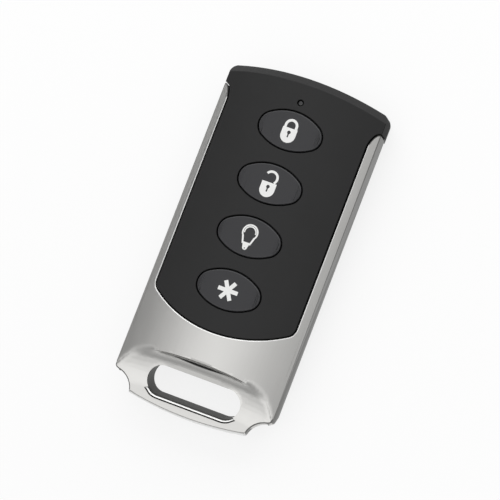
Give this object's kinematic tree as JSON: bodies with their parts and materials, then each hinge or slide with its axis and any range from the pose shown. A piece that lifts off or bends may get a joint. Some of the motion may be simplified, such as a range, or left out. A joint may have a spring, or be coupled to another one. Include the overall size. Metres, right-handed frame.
{
  "type": "alarm key fob",
  "caption": "Hand-held alarm remote with a satin metal surround, black covers, oval sign keys that press in, an indicator hole and a key ring slot.",
  "frame": {"origin": "middle of the back's outline, on the surface that the fob lies on", "axes": "X across the width, +Y along the length towards the shoulder end away from the key ring slot, +Z out of the front face"},
  "size_m": [0.0334, 0.0704, 0.0115],
  "materials": {
    "satin_metal": "satin brushed nickel over cast metal",
    "cover_plastic": "fine matte texture",
    "key_plastic": "fine matte texture with white print",
    "switch_plastic": "moulded",
    "spring_steel": "plated spring strip",
    "plated_steel": "tin plated",
    "board_laminate": "solder mask",
    "chip_resin": "moulded resin",
    "chip_ceramic": "ceramic",
    "copper_track": "plated copper",
    "led_resin": "clear resin",
    "clear_plastic": "dark smoked acrylic",
    "cell_steel": "nickel plated",
    "gasket_plastic": "moulded",
    "screw_steel": "blackened"
  },
  "bodies": {
    "case": {"metal_surround": "satin_metal", "front_cover": "cover_plastic", "rear_cover": "cover_plastic", "lock_snap_dome": "spring_steel", "unlock_snap_dome": "spring_steel", "light_snap_dome": "spring_steel", "star_snap_dome": "spring_steel", "switch_bases": "switch_plastic", "switch_covers": "plated_steel", "switch_terminals": "plated_steel", "circuit_board": "board_laminate", "encoder_chip": "chip_resin", "chip_leads": "plated_steel", "saw_resonator": "plated_steel", "rf_transistor": "chip_resin", "chip_passives": "chip_ceramic", "antenna_track": "copper_track", "status_led": "led_resin", "light_pipe": "clear_plastic", "cell_can": "cell_steel", "cell_gasket": "gasket_plastic", "cell_cap": "cell_steel", "battery_clip": "spring_steel", "negative_contact": "spring_steel", "case_screws": "screw_steel"},
    "lock_key": {"lock_button": "key_plastic", "lock_plunger": "switch_plastic"},
    "unlock_key": {"unlock_button": "key_plastic", "unlock_plunger": "switch_plastic"},
    "light_key": {"light_button": "key_plastic", "light_plunger": "switch_plastic"},
    "star_key": {"star_button": "key_plastic", "star_plunger": "switch_plastic"}
  },
  "joints": [
    {"name": "lock_press", "type": "slide", "parent": "case", "child": "lock_key", "axis": [0, 0, -1], "range_m": [0, 0.0004], "stiffness_N_per_m": 2000, "springref_m": -0.0003, "deforming": ["lock_snap_dome"]},
    {"name": "unlock_press", "type": "slide", "parent": "case", "child": "unlock_key", "axis": [0, 0, -1], "range_m": [0, 0.0004], "stiffness_N_per_m": 2000, "springref_m": -0.0003, "deforming": ["unlock_snap_dome"]},
    {"name": "light_press", "type": "slide", "parent": "case", "child": "light_key", "axis": [0, 0, -1], "range_m": [0, 0.0004], "stiffness_N_per_m": 2000, "springref_m": -0.0003, "deforming": ["light_snap_dome"]},
    {"name": "star_press", "type": "slide", "parent": "case", "child": "star_key", "axis": [0, 0, -1], "range_m": [0, 0.0004], "stiffness_N_per_m": 2000, "springref_m": -0.0003, "deforming": ["star_snap_dome"]}
  ]
}
